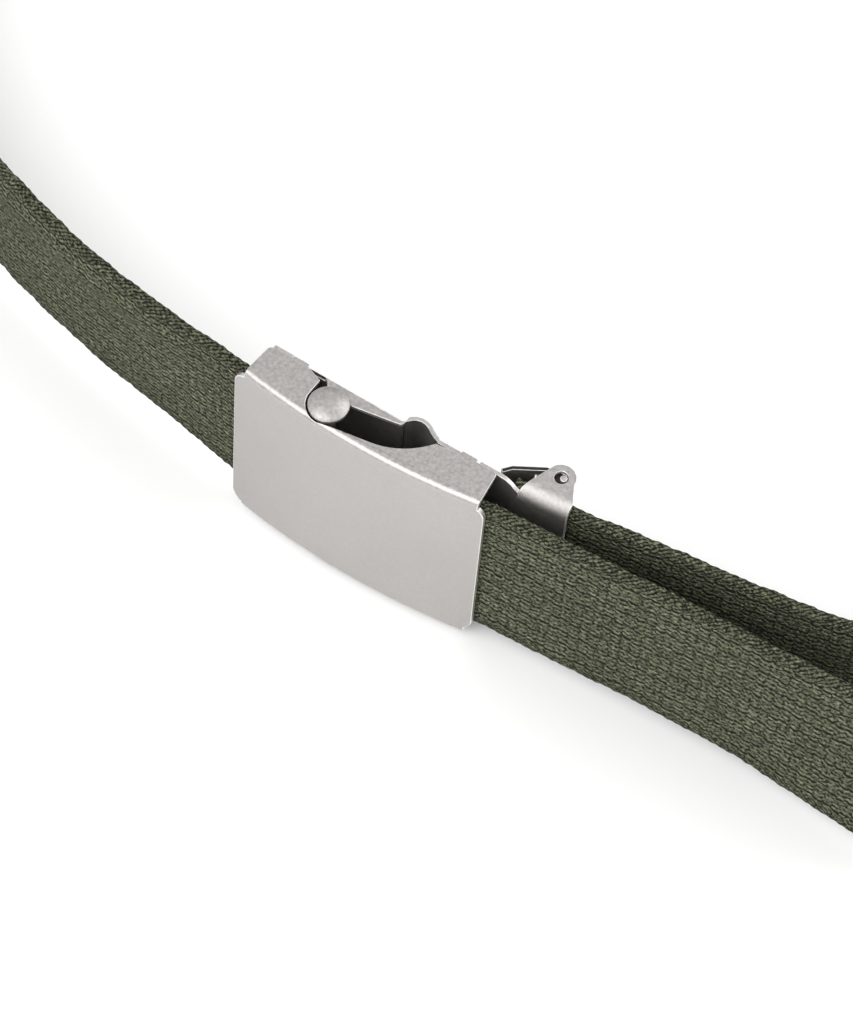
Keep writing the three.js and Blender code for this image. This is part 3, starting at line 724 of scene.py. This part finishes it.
def turn_to_sheet(piece, bends):
    """Give the faces of bent sheets their true directions, and mark the cut edges as 1 for a painted
    highlight and recesses as -1 for painted shade
    """
    mesh = piece.data
    normals = [corner.vector.copy() for corner in mesh.corner_normals]
    cut = []
    for polygon in mesh.polygons:
        inside = [bend for bend in bends if bend.covers(polygon.center)]
        aligned = False
        for corner in polygon.loop_indices:
            point = mesh.vertices[mesh.loops[corner].vertex_index].co
            for bend in inside:
                way = bend.direction(point)
                facing = way.dot(polygon.normal) if way else 0
                if abs(facing) > SQUARELY:
                    normals[corner] = way * math.copysign(1, facing)
                    aligned = True
        edge = not aligned if inside else abs(polygon.normal.z) > 0.4
        cut.append(-1.0 if in_recess(polygon) else float(edge))
    mesh.normals_split_custom_set(normals)
    mark = mesh.attributes.new("cut", "FLOAT", "FACE")
    mark.data.foreach_set("value", cut)


def refined_sheet(node, name, edge_round):
    """Copy of a packed sheet metal piece with its cut edges eased"""
    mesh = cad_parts[node].data.copy()
    mesh.materials.clear()
    piece = new_piece(name, mesh)
    bpy.ops.mesh.customdata_custom_splitnormals_clear()
    bpy.ops.object.mode_set(mode="EDIT")
    bpy.ops.mesh.select_all(action="SELECT")
    bpy.ops.mesh.remove_doubles(threshold=MERGE)
    bpy.ops.mesh.dissolve_limited(angle_limit=FLAT)
    bpy.ops.object.mode_set(mode="OBJECT")
    add_modifier(piece, "BEVEL", width=edge_round, segments=2, limit_method="ANGLE",
                 angle_limit=SHARP, use_clamp_overlap=False, harden_normals=False)
    bpy.ops.object.shade_smooth_by_angle(angle=SMOOTH)
    add_modifier(piece, "WEIGHTED_NORMAL", keep_sharp=True, weight=50)
    return piece


def face_towards(mesh, z):
    """Number of the face that looks along z and stands highest in that direction"""
    return max(mesh.polygons, key=lambda f: f.center.z * z if f.normal.z * z > 0.9 else -1).index


def select_face(piece, number):
    bpy.ops.object.mode_set(mode="EDIT")
    bpy.ops.mesh.select_all(action="DESELECT")
    bpy.ops.object.mode_set(mode="OBJECT")
    piece.data.polygons[number].select = True
    bpy.ops.object.mode_set(mode="EDIT")


def make_roller():
    """Round bar with a low domed head at each end, made as its upper half and mirrored"""
    _, steel, _ = settings()
    head_radius = (ROLLER_HIGH.x - ROLLER_LOW.x) / 2
    half = (ROLLER_HIGH.z - ROLLER_LOW.z) / 2
    under = half - steel.head_dome - steel.head_rim
    bpy.ops.object.select_all(action="DESELECT")
    bpy.ops.mesh.primitive_cylinder_add(vertices=72, radius=head_radius, depth=steel.head_rim,
                                        location=(0, 0, under + steel.head_rim / 2))
    bpy.ops.object.transform_apply(location=True, rotation=True, scale=True)
    bar = bpy.context.object
    bar.name = bar.data.name = "roller_bar"

    select_face(bar, face_towards(bar.data, 1))
    radius = head_radius
    for share in DOME_STEPS:
        smaller = head_radius * share
        rise = steel.head_dome * ((radius ** 2 - smaller ** 2) / head_radius ** 2)
        bpy.ops.mesh.inset(thickness=radius - smaller, depth=rise)
        radius = smaller
    bpy.ops.object.mode_set(mode="OBJECT")
    select_face(bar, face_towards(bar.data, -1))
    bpy.ops.mesh.inset(thickness=head_radius - steel.bar_diameter / 2, depth=0)
    bpy.ops.mesh.extrude_region_move(TRANSFORM_OT_translate={"value": (0, 0, -under)})
    bpy.ops.mesh.delete(type="FACE")
    bpy.ops.object.mode_set(mode="OBJECT")
    add_modifier(bar, "MIRROR", use_axis=(False, False, True), merge_threshold=0.01 * MM)
    add_modifier(bar, "BEVEL", width=RIM_ROUND, segments=3, limit_method="ANGLE", angle_limit=SHARP)
    bar.location = ((ROLLER_LOW.x + ROLLER_HIGH.x) / 2, (ROLLER_LOW.y + ROLLER_HIGH.y) / 2, MIDDLE_Z)
    select_only(bar)
    bpy.ops.object.transform_apply(location=True, rotation=True, scale=True)
    bpy.ops.object.shade_smooth_by_angle(angle=SMOOTH)
    # Painted highlight: the sides of the heads' rims and of the bar are marked 0.6 like cut edges, so they
    # take part of the near-white highlight colour
    mark = bar.data.attributes.new("cut", "FLOAT", "FACE")
    mark.data.foreach_set("value", [0.6 if abs(f.normal.z) < 0.5 else 0.0 for f in bar.data.polygons])
    return bar


def add_floor(stage):
    bpy.ops.mesh.primitive_plane_add(size=stage.floor_size, location=(0, 0, 0))
    floor = bpy.context.object
    floor.name = "floor"
    pale = Nodes("pale_floor")
    pale.shader.inputs["Base Color"].default_value = rgba(stage.floor_colour)
    pale.shader.inputs["Roughness"].default_value = 0.9
    pale.shader.inputs["Specular IOR Level"].default_value = 0.0
    floor.data.materials.append(pale.material)


def add_even_light(stage):
    """White light from all round, weaker low over the floor"""
    world = bpy.data.worlds.new("even_light")
    world.use_nodes = True
    tree = world.node_tree
    way = tree.nodes.new("ShaderNodeTexCoord")
    parts = tree.nodes.new("ShaderNodeSeparateXYZ")
    rise = tree.nodes.new("ShaderNodeMapRange")
    tree.links.new(way.outputs["Generated"], parts.inputs[0])
    tree.links.new(parts.outputs["Z"], rise.inputs["Value"])
    for index, value in enumerate((*HAZE, stage.skyline, stage.sky)):
        rise.inputs[index + 1].default_value = value
    background = tree.nodes["Background"]
    background.inputs["Color"].default_value = (1.0, 1.0, 1.0, 1.0)
    tree.links.new(rise.outputs[0], background.inputs["Strength"])
    bpy.context.scene.world = world


def add_softbox(name, power, size, place):
    """Rectangular soft light that looks at the buckle"""
    bpy.ops.object.light_add(type="AREA", location=place)
    light = bpy.context.object
    light.name = name
    light.data.shape = "RECTANGLE"
    light.data.size, light.data.size_y = size
    light.data.energy = power
    aim = Vector((0, CAD_LOW.y, LIGHT_AIM)) - Vector(place)
    light.rotation_euler = aim.to_track_quat("-Z", "Y").to_euler()


def add_camera(stage):
    bpy.ops.object.camera_add(location=stage.camera_place, rotation=stage.camera_turn)
    camera = bpy.context.object
    camera.data.lens = stage.lens
    camera.data.sensor_width = SENSOR
    camera.data.clip_start, camera.data.clip_end = 0.05, 20
    bpy.context.scene.camera = camera


class BELT_OT_stage(bpy.types.Operator):
    """Add the floor, the soft lights and the camera"""

    bl_idname = "belt.stage"
    bl_label = "Stage"

    def execute(self, context):
        _, _, stage = settings()
        context.scene.view_settings.view_transform = "Standard"
        add_floor(stage)
        add_even_light(stage)
        add_softbox("front_softbox", stage.front_light, *FRONT_BOX)
        add_softbox("back_softbox", stage.back_light, *BACK_BOX)
        add_camera(stage)
        return {"FINISHED"}


class BELT_OT_strap(bpy.types.Operator):
    """Weave the strap from its free end round the loop to the clamp"""

    bl_idname = "belt.strap"
    bl_label = "Strap"

    def execute(self, context):
        strap, length = make_strap()
        hand_over(strap, "strap", "belt", webbing_material())
        return {"FINISHED"}


class BELT_OT_buckle(bpy.types.Operator):
    """Make the sheet metal pieces of the buckle"""

    bl_idname = "belt.buckle"
    bl_label = "Buckle"

    def execute(self, context):
        _, steel, _ = settings()
        satin, bare = satin_steel(), bare_steel()
        frame_half = (FRAME_HIGH.z - FRAME_LOW.z) / 2
        ear_half = frame_half - FRAME_SHEET
        plate = BentSheet((FRAME_LOW.x, FRAME_HIGH.x), bow, frame_half, FRAME_FOLD, FRAME_SHEET)
        ears = BentSheet(SLOT_EAR_SPAN, slot_ear_back, ear_half, SLOT_EAR_FOLD, BACK_SHEET, -1, BACK_SHEET)
        jaw = BentSheet((THROAT_X, THROAT_X + JAW_LENGTH), jaw_front, ear_half, JAW_FOLD, BACK_SHEET)
        rows = (
            ("buckle_frame", "buckle_frame_sheet", "belt", "buckle_steel", satin, [plate]),
            ("back_plate", "back_plate_sheet", "belt", "bare_steel", bare, [ears, jaw]),
            ("clamp_lever", "clamp_lever_sheet", "clamp_lever", "bare_steel", bare, []),
        )
        for node, name, body, slot, material, bends in rows:
            piece = refined_sheet(node, name, steel.edge_round)
            turn_to_sheet(piece, bends)
            hand_over(piece, node, body, material)
        return {"FINISHED"}


class BELT_OT_roller(bpy.types.Operator):
    """Make the roller with its two domed heads"""

    bl_idname = "belt.roller"
    bl_label = "Roller"

    def execute(self, context):
        hand_over(make_roller(), "roller", "roller", satin_steel())
        return {"FINISHED"}


def hand_over(piece, node, body, material):
    """Give a finished piece its material, the body it moves with and the place of its node"""
    if not piece.data.polygons:
        raise RuntimeError(piece.name + " has no faces")
    piece.data.materials.append(material)
    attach(piece, body)
    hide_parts(node)


class BELT_PT_panel(bpy.types.Panel):
    """Lists the belt's pieces and their settings"""

    bl_label = "Belt"
    bl_idname = "BELT_PT_panel"
    bl_space_type = "VIEW_3D"
    bl_region_type = "UI"
    bl_category = "Belt"

    def draw(self, context):
        for operator in OPERATORS:
            self.layout.operator(operator.bl_idname)
        for group in settings():
            box = self.layout.box()
            for name in group.__annotations__:
                box.prop(group, name)


OPERATORS = (BELT_OT_stage, BELT_OT_buckle, BELT_OT_roller, BELT_OT_strap)
CLASSES = (WebbingSettings, SteelSettings, StageSettings, *OPERATORS, BELT_PT_panel)


def register():
    for item in CLASSES:
        bpy.utils.register_class(item)
    bpy.types.Scene.belt_webbing = PointerProperty(type=WebbingSettings)
    bpy.types.Scene.belt_steel = PointerProperty(type=SteelSettings)
    bpy.types.Scene.belt_stage = PointerProperty(type=StageSettings)


def unregister():
    del bpy.types.Scene.belt_stage
    del bpy.types.Scene.belt_steel
    del bpy.types.Scene.belt_webbing
    for item in reversed(CLASSES):
        bpy.utils.unregister_class(item)


def main():
    register()
    bpy.ops.belt.stage()
    bpy.ops.belt.buckle()
    bpy.ops.belt.roller()
    bpy.ops.belt.strap()


if __name__ == "__main__":
    main()
